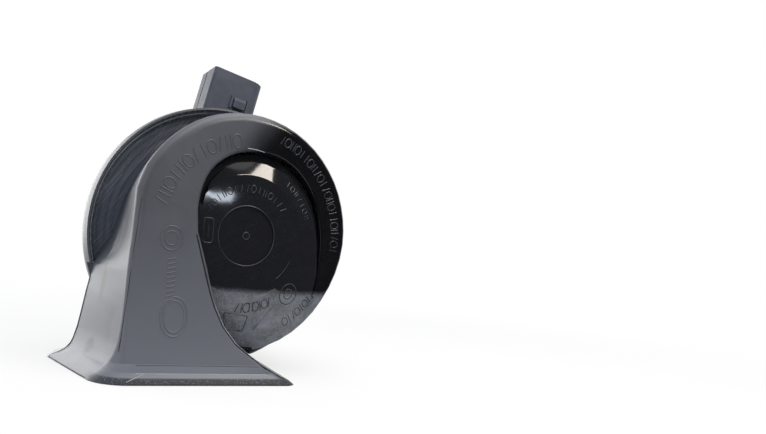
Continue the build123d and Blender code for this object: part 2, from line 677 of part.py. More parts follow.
put("tuning_screw", tuning_screw())
put("connector_housing", connector_housing())
put("connector_terminals", group(connector_terminals()))
put("lead_wires", group(lead_wires()))
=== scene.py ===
import json
import math
import bmesh
import bpy
from mathutils import Matrix, Vector
from mathutils.bvhtree import BVHTree


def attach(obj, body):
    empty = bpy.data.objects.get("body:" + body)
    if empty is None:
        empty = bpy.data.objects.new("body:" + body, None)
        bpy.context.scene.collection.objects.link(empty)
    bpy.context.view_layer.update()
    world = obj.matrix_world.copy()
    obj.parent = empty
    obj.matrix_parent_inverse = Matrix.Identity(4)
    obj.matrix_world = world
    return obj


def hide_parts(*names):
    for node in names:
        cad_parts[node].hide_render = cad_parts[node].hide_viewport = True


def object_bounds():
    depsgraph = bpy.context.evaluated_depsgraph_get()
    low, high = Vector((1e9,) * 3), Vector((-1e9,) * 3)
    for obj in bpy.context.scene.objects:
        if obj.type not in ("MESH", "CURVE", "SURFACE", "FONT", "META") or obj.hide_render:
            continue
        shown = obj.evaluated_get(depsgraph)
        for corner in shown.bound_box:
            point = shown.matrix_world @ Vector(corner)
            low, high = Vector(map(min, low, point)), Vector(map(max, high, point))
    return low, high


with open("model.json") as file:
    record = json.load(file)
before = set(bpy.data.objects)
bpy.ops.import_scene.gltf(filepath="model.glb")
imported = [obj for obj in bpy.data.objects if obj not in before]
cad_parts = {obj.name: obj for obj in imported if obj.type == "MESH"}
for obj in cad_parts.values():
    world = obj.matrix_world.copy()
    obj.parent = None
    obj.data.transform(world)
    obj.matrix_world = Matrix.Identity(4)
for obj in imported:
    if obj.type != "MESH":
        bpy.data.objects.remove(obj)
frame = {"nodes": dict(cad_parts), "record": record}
cadLow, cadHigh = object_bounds()
nodes = frame["nodes"]
print("frame loaded,", len(nodes), "nodes")

seatBehindLip = 35.6    # mm from the lip of the dish back to the seat of the stud


# a place in millimetres, with y = 0 at the lip of the dish, as metres in the frame
def atLip(x, y, z):
    return Vector((x, y - seatBehindLip, z)) / 1000


# camera, low and a little to the left of the horn
cameraSetup = {
    "right": (0.93136753, -0.35587954, 0.07683924),
    "up": (-0.07952452, 0.00710177, 0.99680761),
    "ahead": (0.35528913, 0.93450485, 0.02168679),
    "place": (-0.085765, -0.281185, -0.005235),
    "lens": 31.885,
    "shift": (0.19458, 0.02430),
}
lensData = bpy.data.cameras.new("camera")
camera = bpy.data.objects.new("camera", lensData)
bpy.context.collection.objects.link(camera)
axes = [Vector(cameraSetup["right"]), Vector(cameraSetup["up"]), -Vector(cameraSetup["ahead"])]
cameraPlace = Matrix(axes).transposed().to_4x4()
cameraPlace.translation = Vector(cameraSetup["place"])
camera.matrix_world = cameraPlace
lensData.sensor_width = 36
lensData.lens = cameraSetup["lens"]
lensData.shift_x, lensData.shift_y = cameraSetup["shift"]
lensData.clip_start = 0.01
bpy.context.scene.camera = camera
bpy.context.scene.view_settings.view_transform = "Standard"
print("camera set")


# sRGB hex to the linear colour that the shaders want
def toLinear(hexColour):
    parts = [int(hexColour[i:i + 2], 16) / 255 for i in (1, 3, 5)]
    return tuple(c / 12.92 if c <= 0.04045 else ((c + 0.055) / 1.055) ** 2.4 for c in parts) + (1,)


# one node with its settings; an input is a value, a node, or (node, output)
def addNode(tree, kind, settings=None, inputs=None):
    node = tree.nodes.new(kind)
    for key, value in (settings or {}).items():
        setattr(node, key, value)
    for key, value in (inputs or {}).items():
        if isinstance(value, bpy.types.Node):
            tree.links.new(value.outputs[0], node.inputs[key])
        elif isinstance(value, tuple) and isinstance(value[0], bpy.types.Node):
            tree.links.new(value[0].outputs[value[1]], node.inputs[key])
        else:
            node.inputs[key].default_value = value
    return node


# a new material: its tree, shader, output and the place in the part's own frame
def startMaterial(name):
    material = bpy.data.materials.new(name)
    material.use_nodes = True
    tree = material.node_tree
    tree.nodes.clear()
    shader = addNode(tree, "ShaderNodeBsdfPrincipled")
    addNode(tree, "ShaderNodeOutputMaterial", inputs={"Surface": shader})
    return material, tree, shader, addNode(tree, "ShaderNodeTexCoord")


def finishMaterial(tree, shader, colour, rough, bump, ior):
    tree.links.new(colour.outputs[2], shader.inputs["Base Color"])
    tree.links.new(rough.outputs[0], shader.inputs["Roughness"])
    tree.links.new(bump.outputs[0], shader.inputs["Normal"])
    shader.inputs["IOR"].default_value = ior


# Film of dust and fine rub marks on the lower front, under a hazy bluish grey that is painted reflection of
# the pale floor; it has a soft upper border.
dustAndFloorReflection = {
    "top": -16.6, "full": -19.6, "waverMm": 1.6,    # heights in mm, and how far they wander
    "strength": 0.82, "rough": 0.38, "colour": "#6c727c", "thinColour": "#444950",
    "cloudMm": 5.0, "cloudRange": (0.32, 0.66),
    # dust is about 0.05 mm; the specks are drawn coarser so that they show
    "speckMm": 0.34, "speckRange": (0.53, 0.70), "speckShare": 0.65, "speckColour": "#b9bec4",
    "rubMm": 0.30, "rubLengthMm": 9.0, "rubTurn": 58,   # degrees from upright
    "rubRange": (0.57, 0.74), "rubShare": 0.55, "rubColour": "#9399a1",
    "cleanShare": 0.02,     # specks and rubs left above the film
}


def addDustAndFloorReflection(tree, place, split, colour, rough):
    look = dustAndFloorReflection
    cloud = addNode(tree, "ShaderNodeTexNoise", None,
                    {"Vector": (place, "Object"), "Scale": 1000 / look["cloudMm"], "Detail": 4})
    # the haze: dust, with painted reflection of the pale floor, fading in below a wavering height
    height = addNode(tree, "ShaderNodeMath", {"operation": "MULTIPLY_ADD"},
                     {0: cloud, 1: look["waverMm"] / 1000, 2: (split, "Z")})
    dustAndReflection = addNode(tree, "ShaderNodeMapRange", {"interpolation_type": "SMOOTHSTEP"},
                   {"Value": height, "From Min": look["top"] / 1000, "From Max": look["full"] / 1000,
                    "To Max": look["strength"]})
    thick = addNode(tree, "ShaderNodeMapRange", None,
                    {"Value": cloud, "From Min": look["cloudRange"][0], "From Max": look["cloudRange"][1]})
    dustAndReflectionColour = addNode(tree, "ShaderNodeMix", {"data_type": "RGBA"},
                         {0: thick, 6: toLinear(look["thinColour"]), 7: toLinear(look["colour"])})
    colour = addNode(tree, "ShaderNodeMix", {"data_type": "RGBA"},
                     {0: dustAndReflection, 6: (colour, 2), 7: (dustAndReflectionColour, 2)})
    speck = addNode(tree, "ShaderNodeTexNoise", None,
                    {"Vector": (place, "Object"), "Scale": 1000 / look["speckMm"], "Detail": 3,
                     "Roughness": 0.7})
    speck = addNode(tree, "ShaderNodeMapRange", None,
                    {"Value": speck, "From Min": look["speckRange"][0], "From Max": look["speckRange"][1],
                     "To Max": look["speckShare"]})
    turned = addNode(tree, "ShaderNodeMapping", {"vector_type": "TEXTURE"},
                     {"Vector": (place, "Object"), "Rotation": (0, math.radians(look["rubTurn"]), 0),
                      "Scale": (look["rubMm"] / 1000, look["rubMm"] / 1000, look["rubLengthMm"] / 1000)})
    rub = addNode(tree, "ShaderNodeTexNoise", None, {"Vector": turned, "Scale": 1.0, "Detail": 2})
    rub = addNode(tree, "ShaderNodeMapRange", None,
                  {"Value": rub, "From Min": look["rubRange"][0], "From Max": look["rubRange"][1],
                   "To Max": look["rubShare"]})
    shown = addNode(tree, "ShaderNodeMapRange", None,
                    {"Value": dustAndReflection, "To Min": look["cleanShare"], "To Max": 1.0})
    for mark, markColour in ((speck, look["speckColour"]), (rub, look["rubColour"])):
        here = addNode(tree, "ShaderNodeMath", {"operation": "MULTIPLY"}, {0: mark, 1: shown})
        colour = addNode(tree, "ShaderNodeMix", {"data_type": "RGBA"},
                         {0: here, 6: (colour, 2), 7: toLinear(markColour)})
    rough = addNode(tree, "ShaderNodeMapRange", None,
                    {"Value": dustAndReflection, "From Max": look["strength"], "To Min": rough, "To Max": look["rough"]})
    return colour, rough


# Glass-filled nylon moulded in an etched tool: dark bluish grey, with a broad soft reflection that
# turns the side walls pale. Toward the right the tool was polished, and the duct goes black.
etchedNylonLook = {
    "colour": "#494c54", "cloud": "#454850", "cloudMm": 9.0, "cloudRange": (0.35, 0.65),
    "lowColour": "#646871", "lowFrom": 12.0, "lowTo": -40.0,    # paler downward between these, mm
    "polished": "#0c0c0f", "polishedCloud": "#101013", "polishedRough": 0.11, "polishedBump": 0.02,
    "rough": 0.41, "roughSpread": 0.03, "ior": 1.53,
    # The polish comes in over x less a share of the distance from the axis, in mm. Below a height
    # its border leans to the right.
    "polishFrom": -30.0, "polishTo": -14.0, "polishByRadius": 0.7, "leanBelow": -15.0, "lean": 0.35,
    "grainMm": 0.45,        # the etched grain is about 0.15 mm, drawn coarser so that it shows
    "bump": 0.25, "bumpDepth": 0.1,     # mm
    "wearAndReflectionMm": 1.613, "wearAndReflectionRange": (0.40, 0.58), "wearAndReflectionLeast": 0.6,   # how the worn places and the painted reflection break up
    # worn and stained places, and one patch of painted reflection: centre and half size in mm, colour,
    # strength, added roughness
    "patches": [
        ((-39.6, -12.0, -2.5), (4.0, 8.0, 10.5), "#8d9094", 0.62, 0.2),
        # painted reflection: a paler patch on the upper side wall, for the grazing reflection of the pale
        # surround
        ((-37.0, -14.0, 10.0), (5.0, 11.0, 14.0), "#777a7f", 0.5, 0.1),
        ((-40.6, -9.4, -7.0), (3.0, 1.5, 9.0), "#a0a3a6", 0.6, 0.2),
        ((-43.2, -12.0, -19.0), (4.0, 2.6, 9.0), "#5d564b", 0.5, 0.1),
        ((-47.2, -13.4, -41.0), (4.0, 4.5, 4.0), "#564f44", 0.5, 0.1),
        ((-42.0, -30.0, -33.0), (4.0, 5.0, 9.0), "#8f9297", 0.3, 0.1),
    ],
    # dull speckled band along the front of the mouth, mm; it comes in between these heights and depths
    "lipTop": -45.9, "lipFull": -46.5, "lipBack": -30.0, "lipFront": -42.0,
    "lipColour": "#101722", "lipRough": 0.55,
    "speckMm": 0.55, "speckRange": (0.52, 0.70), "speckColour": "#505a6a",
}


def makeEtchedNylon(look):
    material, tree, shader, place = startMaterial("etchedNylon")
    split = addNode(tree, "ShaderNodeSeparateXYZ", None, {0: (place, "Object")})
    flat = addNode(tree, "ShaderNodeVectorMath", {"operation": "MULTIPLY"},
                   {0: (place, "Object"), 1: (1, 0, 1)})
    radius = addNode(tree, "ShaderNodeVectorMath", {"operation": "LENGTH"}, {0: flat})
    below = addNode(tree, "ShaderNodeMath", {"operation": "ADD"},
                    {0: (split, "Z"), 1: -look["leanBelow"] / 1000})
    below = addNode(tree, "ShaderNodeMath", {"operation": "MINIMUM"}, {0: below, 1: 0.0})
    across = addNode(tree, "ShaderNodeMath", {"operation": "MULTIPLY_ADD"},
                     {0: below, 1: look["lean"], 2: (split, "X")})
    across = addNode(tree, "ShaderNodeMath", {"operation": "MULTIPLY_ADD"},
                     {0: (radius, "Value"), 1: -look["polishByRadius"], 2: across})
    gloss = addNode(tree, "ShaderNodeMapRange", {"interpolation_type": "SMOOTHSTEP"},
                    {"Value": across, "From Min": look["polishFrom"] / 1000,
                     "From Max": look["polishTo"] / 1000})
    cloud = addNode(tree, "ShaderNodeTexNoise", None,
                    {"Vector": (place, "Object"), "Scale": 1000 / look["cloudMm"], "Detail": 3})
    cloudy = addNode(tree, "ShaderNodeMapRange", None,
                     {"Value": cloud, "From Min": look["cloudRange"][0], "From Max": look["cloudRange"][1]})
    colour = addNode(tree, "ShaderNodeMix", {"data_type": "RGBA"},
                     {0: cloudy, 6: toLinear(look["cloud"]), 7: toLinear(look["colour"])})
    low = addNode(tree, "ShaderNodeMapRange", None,
                  {"Value": (split, "Z"), "From Min": look["lowFrom"] / 1000,
                   "From Max": look["lowTo"] / 1000})
    colour = addNode(tree, "ShaderNodeMix", {"data_type": "RGBA"},
                     {0: low, 6: (colour, 2), 7: toLinear(look["lowColour"])})
    rough = addNode(tree, "ShaderNodeMapRange", None,
                    {"Value": cloud, "To Min": look["rough"] - look["roughSpread"],
                     "To Max": look["rough"] + look["roughSpread"]})
    broken = addNode(tree, "ShaderNodeTexNoise", None,
                     {"Vector": (place, "Object"), "Scale": 1000 / look["wearAndReflectionMm"], "Detail": 4,
                      "Roughness": 0.7})
    broken = addNode(tree, "ShaderNodeMapRange", None,
                     {"Value": broken, "From Min": look["wearAndReflectionRange"][0], "From Max": look["wearAndReflectionRange"][1],
                      "To Min": look["wearAndReflectionLeast"]})
    for centre, half, patchColour, strength, added in look["patches"]:
        away = addNode(tree, "ShaderNodeVectorMath", {"operation": "SUBTRACT"},
                       {0: (place, "Object"), 1: atLip(*centre)})
        away = addNode(tree, "ShaderNodeVectorMath", {"operation": "MULTIPLY"},
                       {0: away, 1: [1000 / h for h in half]})
        away = addNode(tree, "ShaderNodeVectorMath", {"operation": "LENGTH"}, {0: away})
        inside = addNode(tree, "ShaderNodeMapRange", {"interpolation_type": "SMOOTHSTEP"},
                         {"Value": (away, "Value"), "From Min": 1.0, "From Max": 0.5, "To Max": strength})
        wearAndReflection = addNode(tree, "ShaderNodeMath", {"operation": "MULTIPLY"}, {0: inside, 1: broken})
        colour = addNode(tree, "ShaderNodeMix", {"data_type": "RGBA"},
                         {0: wearAndReflection, 6: (colour, 2), 7: toLinear(patchColour)})
        rough = addNode(tree, "ShaderNodeMath", {"operation": "MULTIPLY_ADD"}, {0: wearAndReflection, 1: added, 2: rough})
    lip = addNode(tree, "ShaderNodeMapRange", {"interpolation_type": "SMOOTHSTEP"},
                  {"Value": (split, "Z"), "From Min": look["lipTop"] / 1000,
                   "From Max": look["lipFull"] / 1000})
    ahead = addNode(tree, "ShaderNodeMapRange", {"interpolation_type": "SMOOTHSTEP"},
                    {"Value": (split, "Y"), "From Min": atLip(0, look["lipBack"], 0).y,
                     "From Max": atLip(0, look["lipFront"], 0).y})
    lip = addNode(tree, "ShaderNodeMath", {"operation": "MULTIPLY"}, {0: lip, 1: ahead})
    speck = addNode(tree, "ShaderNodeTexNoise", None,
                    {"Vector": (place, "Object"), "Scale": 1000 / look["speckMm"], "Detail": 3,
                     "Roughness": 0.65})
    speck = addNode(tree, "ShaderNodeMapRange", None,
                    {"Value": speck, "From Min": look["speckRange"][0], "From Max": look["speckRange"][1]})
    lipColour = addNode(tree, "ShaderNodeMix", {"data_type": "RGBA"},
                        {0: speck, 6: toLinear(look["lipColour"]), 7: toLinear(look["speckColour"])})
    colour = addNode(tree, "ShaderNodeMix", {"data_type": "RGBA"},
                     {0: lip, 6: (colour, 2), 7: (lipColour, 2)})
    lipRough = addNode(tree, "ShaderNodeMapRange", None,
                       {"Value": speck, "To Min": look["lipRough"], "To Max": look["rough"]})
    rough = addNode(tree, "ShaderNodeMix", {"data_type": "FLOAT"}, {0: lip, 2: rough, 3: lipRough})
    black = addNode(tree, "ShaderNodeMix", {"data_type": "RGBA"},
                    {0: cloudy, 6: toLinear(look["polished"]), 7: toLinear(look["polishedCloud"])})
    black, blackRough = addDustAndFloorReflection(tree, place, split, black, look["polishedRough"])
    colour = addNode(tree, "ShaderNodeMix", {"data_type": "RGBA"}, {0: gloss, 6: (colour, 2), 7: (black, 2)})
    rough = addNode(tree, "ShaderNodeMix", {"data_type": "FLOAT"}, {0: gloss, 2: rough, 3: blackRough})
    grain = addNode(tree, "ShaderNodeTexNoise", None,
                    {"Vector": (place, "Object"), "Scale": 1000 / look["grainMm"], "Detail": 2})
    deep = addNode(tree, "ShaderNodeMapRange", None,
                   {"Value": gloss, "To Min": look["bump"], "To Max": look["polishedBump"]})
    bump = addNode(tree, "ShaderNodeBump", None,
                   {"Strength": deep, "Distance": look["bumpDepth"] / 1000, "Height": grain})
    finishMaterial(tree, shader, colour, rough, bump, look["ior"])
    return material


# The same nylon from a polished tool: black and mirror-like above, dulled below by dust and a painted
# reflection of the floor.
polishedNylonLook = {"colour": "#1d1e22", "cloud": "#17181b", "cloudMm": 7.0, "rough": 0.065, "ior": 1.53,
                     "waveMm": 6.0, "bump": 0.12, "bumpDepth": 0.1}    # shallow waves of the tool, mm


def makePolishedNylon(look):
    material, tree, shader, place = startMaterial("polishedNylon")
    split = addNode(tree, "ShaderNodeSeparateXYZ", None, {0: (place, "Object")})
    cloud = addNode(tree, "ShaderNodeTexNoise", None,
                    {"Vector": (place, "Object"), "Scale": 1000 / look["cloudMm"], "Detail": 3})
    colour = addNode(tree, "ShaderNodeMix", {"data_type": "RGBA"},
                     {0: cloud, 6: toLinear(look["cloud"]), 7: toLinear(look["colour"])})
    colour, rough = addDustAndFloorReflection(tree, place, split, colour, look["rough"])
    wave = addNode(tree, "ShaderNodeTexNoise", None,
                   {"Vector": (place, "Object"), "Scale": 1000 / look["waveMm"], "Detail": 1})
    bump = addNode(tree, "ShaderNodeBump", None,
                   {"Strength": look["bump"], "Distance": look["bumpDepth"] / 1000, "Height": wave})
    finishMaterial(tree, shader, colour, rough, bump, look["ior"])
    return material


# Nylon from a turned tool: the floor of the dish, bluish black with faint rings of the lathe and
# wiped streaks that catch the light.
turnedNylonLook = {
    "colour": "#4b515c", "ring": "#626874", "rough": 0.26, "ior": 1.53,
    "ringMm": 2.6, "ringWaver": 1.4,    # real turning marks are about 0.2 mm apart, drawn coarser to show
    "patchMm": 8.333, "bump": 0.25, "bumpDepth": 0.08,
    "streakMm": 0.6, "streakLengthMm": 22.0, "streakTurn": 36, "streakRange": (0.56, 0.74),
    "streakShare": 0.6, "streakColour": "#7d848f", "streakRough": 0.45,
}


def makeTurnedNylon(look):
    material, tree, shader, place = startMaterial("turnedNylon")
    ringScale = 2 * math.pi / 20 / (look["ringMm"] / 1000)     # it repeats every 2 pi / 20 / scale
    ring = addNode(tree, "ShaderNodeTexWave",
                   {"wave_type": "RINGS", "rings_direction": "Y", "wave_profile": "SIN"},
                   {"Vector": (place, "Object"), "Scale": ringScale, "Distortion": look["ringWaver"],
                    "Detail": 2, "Detail Scale": 0.4})
    patchy = addNode(tree, "ShaderNodeTexNoise", None,
                     {"Vector": (place, "Object"), "Scale": 1000 / look["patchMm"], "Detail": 3})
    ringed = addNode(tree, "ShaderNodeMath", {"operation": "MULTIPLY"}, {0: (ring, 1), 1: patchy})
    colour = addNode(tree, "ShaderNodeMix", {"data_type": "RGBA"},
                     {0: ringed, 6: toLinear(look["colour"]), 7: toLinear(look["ring"])})
    turned = addNode(tree, "ShaderNodeMapping", {"vector_type": "TEXTURE"},
                     {"Vector": (place, "Object"), "Rotation": (0, math.radians(look["streakTurn"]), 0),
                      "Scale": [mm / 1000 for mm in (look["streakMm"], look["streakMm"],
                                                     look["streakLengthMm"])]})
    streak = addNode(tree, "ShaderNodeTexNoise", None, {"Vector": turned, "Scale": 1.0, "Detail": 2})
    streak = addNode(tree, "ShaderNodeMapRange", None,
                     {"Value": streak, "From Min": look["streakRange"][0], "From Max": look["streakRange"][1],
                      "To Max": look["streakShare"]})
    colour = addNode(tree, "ShaderNodeMix", {"data_type": "RGBA"},
                     {0: streak, 6: (colour, 2), 7: toLinear(look["streakColour"])})
    rough = addNode(tree, "ShaderNodeMapRange", None,
                    {"Value": streak, "To Min": look["rough"], "To Max": look["streakRough"]})
    bump = addNode(tree, "ShaderNodeBump", None,
                   {"Strength": look["bump"], "Distance": look["bumpDepth"] / 1000, "Height": (ring, 1)})
    finishMaterial(tree, shader, colour, rough, bump, look["ior"])
    return material


# Finishes of one grain and two close tones: what each is, what it gives the eye, and the size of
# its grain in mm, drawn coarser than the real one so that it shows. Metals keep the default IOR.
plainTones = {"cloudMm": 5.882, "cloudRange": (0.35, 0.65), "grainRange": (0.3, 0.7),
              "smoother": 0.05, "rougher": 0.07, "bumpDepth": 0.1}
plainLooks = {
    # polyester moulded in a fine-etched tool: satin, bluish dark grey
    "mouldedPolyester": {"colours": ("#484d58", "#505561"), "metal": 0, "rough": 0.48, "grain": 0.5,
                         "bump": 0.2, "ior": 1.55, "specular": 0.15},
    # nylon worn by handling: pale thin lines where an edge is rubbed
    # painted highlight: pale thin beads along edges, standing in for the light they catch
    "paintedHighlightNylon": {"colours": ("#8d9197", "#a9adb2"), "metal": 0, "rough": 0.35, "grain": 0.6, "bump": 0.2,
                    "ior": 1.53},
    # polished nylon dulled on the tops of raised marks: dark grey lines on the black
    "dulledNylon": {"colours": ("#24262b", "#363a40"), "metal": 0, "rough": 0.2, "grain": 0.6, "bump": 0.1,
                    "ior": 1.53},
    # painted shade: near-black, dull beads where parts of the mould meet and along edges, standing in for the
    # shade in the gaps
    "paintedShadeNylon": {"colours": ("#0e0f11", "#15161a"), "metal": 0, "rough": 0.6, "grain": 0.6, "bump": 0.1,
                    "ior": 1.53},
    # deep-drawn steel dipped in black paint: half gloss, with a slight orange peel
    "dippedSteel": {"colours": ("#141416", "#1d1d20"), "metal": 0, "rough": 0.32, "grain": 1.2, "bump": 0.15,
                    "ior": 1.5},
    # turned steel with bright zinc plating: pale grey, softly mirrored
    "zincPlated": {"colours": ("#c3c4c2", "#a9aba9"), "metal": 1, "rough": 0.34, "grain": 0.6, "bump": 0.1},
    # rolled spring steel: mid-grey, with a tight sheen
    "rolledSteel": {"colours": ("#a6a8ab", "#8d8f93"), "metal": 1, "rough": 0.3, "grain": 0.5, "bump": 0.08},
    # turned soft iron, oiled: dark and dull
    "turnedIron": {"colours": ("#6c6d6f", "#57585a"), "metal": 1, "rough": 0.45, "grain": 0.7, "bump": 0.2},
    # copper wire, enamelled and wound: reddish, glossy, with a fine grain of turns
    "woundCopper": {"colours": ("#a4522b", "#b8643a"), "metal": 1, "rough": 0.28, "grain": 0.5, "bump": 0.15},
    # rolled bronze strip: yellow brown, with a soft gloss
    "rolledBronze": {"colours": ("#b98a4d", "#a67a41"), "metal": 1, "rough": 0.3, "grain": 0.6, "bump": 0.1},
    # pressed silver alloy: white and bright
    "pressedSilver": {"colours": ("#d6d5d0", "#c2c1bd"), "metal": 1, "rough": 0.22, "grain": 0.4,
                      "bump": 0.08},
    # stamped brass, tinned: warm pale grey
    "tinnedBrass": {"colours": ("#cdc8b8", "#b5b09f"), "metal": 1, "rough": 0.3, "grain": 0.6, "bump": 0.1},
    # cork and rubber sheet, cut: brown black, dull and crumbly
    "cutCorkRubber": {"colours": ("#2b2723", "#3a342d"), "metal": 0, "rough": 0.8, "grain": 0.8, "bump": 0.5,
                      "ior": 1.5},
    # nylon moulded without dye: creamy, a little glossy
    "naturalNylon": {"colours": ("#d8d2c0", "#cbc5b2"), "metal": 0, "rough": 0.4, "grain": 0.6, "bump": 0.1,
                     "ior": 1.53},
}


def makePlain(name, look):
    material, tree, shader, place = startMaterial(name)
    tones = plainTones
    cloud = addNode(tree, "ShaderNodeTexNoise", None,
                    {"Vector": (place, "Object"), "Scale": 1000 / tones["cloudMm"], "Detail": 3})
    cloudy = addNode(tree, "ShaderNodeMapRange", None,
                     {"Value": cloud, "From Min": tones["cloudRange"][0], "From Max": tones["cloudRange"][1]})
    colour = addNode(tree, "ShaderNodeMix", {"data_type": "RGBA"},
                     {0: cloudy, 6: toLinear(look["colours"][0]), 7: toLinear(look["colours"][1])})
    grain = addNode(tree, "ShaderNodeTexNoise", None,
                    {"Vector": (place, "Object"), "Scale": 1000 / look["grain"], "Detail": 3})
    rough = addNode(tree, "ShaderNodeMapRange", None,
                    {"Value": grain, "From Min": tones["grainRange"][0], "From Max": tones["grainRange"][1],
                     "To Min": look["rough"] - tones["smoother"], "To Max": look["rough"] + tones["rougher"]})
    bump = addNode(tree, "ShaderNodeBump", None,
                   {"Strength": look["bump"], "Distance": tones["bumpDepth"] / 1000, "Height": grain})
    shader.inputs["Metallic"].default_value = look["metal"]
    shader.inputs["Specular IOR Level"].default_value = look.get("specular", 0.5)
    finishMaterial(tree, shader, colour, rough, bump, look.get("ior", shader.inputs["IOR"].default_value))
    return material


finishOfSlot = {
    "horn_plastic": "etchedNylon", "connector_plastic": "mouldedPolyester", "bowl_paint": "dippedSteel",
    "zinc_steel": "zincPlated", "spring_steel": "rolledSteel", "soft_iron": "turnedIron",
    "copper_wire": "woundCopper", "contact_bronze": "rolledBronze", "contact_metal": "pressedSilver",
    "tinned_brass": "tinnedBrass", "gasket": "cutCorkRubber", "nylon": "naturalNylon",
}
finishes = {name: makePlain(name, look) for name, look in plainLooks.items()}
finishes["etchedNylon"] = makeEtchedNylon(etchedNylonLook)
finishes["polishedNylon"] = makePolishedNylon(polishedNylonLook)
finishes["turnedNylon"] = makeTurnedNylon(turnedNylonLook)
for part in frame["record"]["subparts"]:
    piece = nodes[part["node"]]
    piece.data.materials.clear()
    piece.data.materials.append(finishes[finishOfSlot[part["material_slot"]]])
print("materials made:", len(finishes))

# Edge of the whorl where it meets the duct and the neck, x and z in mm. The polished finish ends here.
whorlEdge = [(9.0, -38.8), (18.2, -34.8), (26.2, -27.7), (30.3, -18.2), (30.8, -8.5), (30.6, 0.0),
             (29.6, 6.8), (27.6, 13.4), (24.0, 19.4), (19.0, 24.3), (12.9, 27.7), (6.2, 29.1),
             (0.0, 29.0), (-5.4, 27.7), (-10.1, 25.0), (-14.2, 21.1), (-16.8, 15.7), (-18.0, 10.4),
             (-18.3, 5.9), (-17.8, 0.0), (-15.0, -8.0), (-13.1, -14.0), (-11.6, -19.0), (-9.6, -24.3),
             (-6.3, -30.7), (-1.4, -36.5), (3.0, -40.0)]


def insideLoop(loop, x, z):
    inside = False
    for (x0, z0), (x1, z1) in zip(loop, loop[1:] + loop[:1]):
        if (z0 > z) != (z1 > z) and x < x0 + (x1 - x0) * (z - z0) / (z1 - z0):
            inside = not inside
    return inside


# A moulded shell with its strips welded and shaded as one skin; sharp corners stay sharp.
skin = {"weld": 2e-6, "sliver": 1e-6, "sharpFrom": 26}      # metres, metres, degrees


def smoothShell(node, name, materials, pick):
    source = nodes[node]
    mesh = source.data.copy()
    mesh.name = name
    piece = bpy.data.objects.new(name, mesh)
    bpy.context.collection.objects.link(piece)
    mesh.materials.clear()
    for material in materials:
        mesh.materials.append(finishes[material])
    bm = bmesh.new()
    bm.from_mesh(mesh)
    bmesh.ops.remove_doubles(bm, verts=bm.verts, dist=skin["weld"])
    bmesh.ops.dissolve_degenerate(bm, edges=bm.edges, dist=skin["sliver"])
    for face in bm.faces:
        face.smooth = True
        face.material_index = pick(face.calc_center_median() * 1000 + Vector((0, seatBehindLip, 0)))
    bm.to_mesh(mesh)
    bm.free()
    if mesh.attributes.get("custom_normal"):
        mesh.attributes.remove(mesh.attributes["custom_normal"])
    mesh.set_sharp_from_angle(angle=math.radians(skin["sharpFrom"]))
    weigh = piece.modifiers.new("evenNormals", "WEIGHTED_NORMAL")
    weigh.keep_sharp = True
    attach(piece, "root")
    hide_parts(node)
    return piece


# Front face of the whorl, in mm: a flat middle, a cone round it, and the depth that counts as its face.
whorlFace = {"flatR": 20.4, "flatAhead": 32.2, "coneR": 20.9, "coneAhead": 32.0, "coneFall": 0.4433,
             "above": 0.3, "below": 5}
dishInside = {"r": 47.9, "back": 6.5}      # inside of the dish: radius and depth behind the lip


def whorlPart(centre):
    look = whorlFace
    r = math.hypot(centre.x, centre.z)
    ahead = look["flatAhead"]
    if r >= look["flatR"]:
        ahead = look["coneAhead"] - (r - look["coneR"]) * look["coneFall"]
    onFace = -ahead - look["above"] < centre.y < -ahead + look["below"]
    return 1 if onFace and insideLoop(whorlEdge, centre.x, centre.z) else 0


def dishPart(centre):
    r = math.hypot(centre.x, centre.z)
    return 1 if r < dishInside["r"] and centre.y < dishInside["back"] else 0


frontShell = smoothShell("front_horn_shell", "frontShell", ["etchedNylon", "polishedNylon"], whorlPart)
rearShell = smoothShell("rear_horn_shell", "rearShell", ["etchedNylon", "turnedNylon"], dishPart)
print("shells smoothed:", len(frontShell.data.polygons), len(rearShell.data.polygons))

# Raised marks of the mould, kept plain: rings, ovals and bars.
bpy.context.view_layer.update()
frontTree = BVHTree.FromPolygons([v.co for v in frontShell.data.vertices],
                                 [p.vertices for p in frontShell.data.polygons])
rearTree = BVHTree.FromPolygons([v.co for v in rearShell.data.vertices],
                                [p.vertices for p in rearShell.data.polygons])


def oval(x, z, halfX, halfZ, steps=28, turn=0.0):
    out = []
    for i in range(steps):
        a = 2 * math.pi * i / steps
        u, w = halfX * math.cos(a), halfZ * math.sin(a)
        out.append((x + u * math.cos(turn) - w * math.sin(turn), z + u * math.sin(turn) + w * math.cos(turn)))
    return out + out[:1]


def roundedBox(x, z, halfX, halfZ, r, turn=0.0):
    out = []
    for cx, cz, start in ((1, 1, 0), (-1, 1, 90), (-1, -1, 180), (1, -1, 270)):
        for step in range(5):
            a = math.radians(start + 22.5 * step)
            u = cx * (halfX - r) + r * math.cos(a)
            w = cz * (halfZ - r) + r * math.sin(a)
            out.append((x + u * math.cos(turn) - w * math.sin(turn),
                        z + u * math.sin(turn) + w * math.cos(turn)))
    return out + out[:1]


def arcLine(r, start, end, steps=24):
    turns = [math.radians(start + (end - start) * i / steps) for i in range(steps + 1)]
    return [(r * math.cos(a), r * math.sin(a)) for a in turns]


# shares of a mark's height: half width of a ring, half the space of a pair of bars, lean of a bar
markShape = {"halfWide": 0.36, "apart": 0.18, "lean": 0.12}


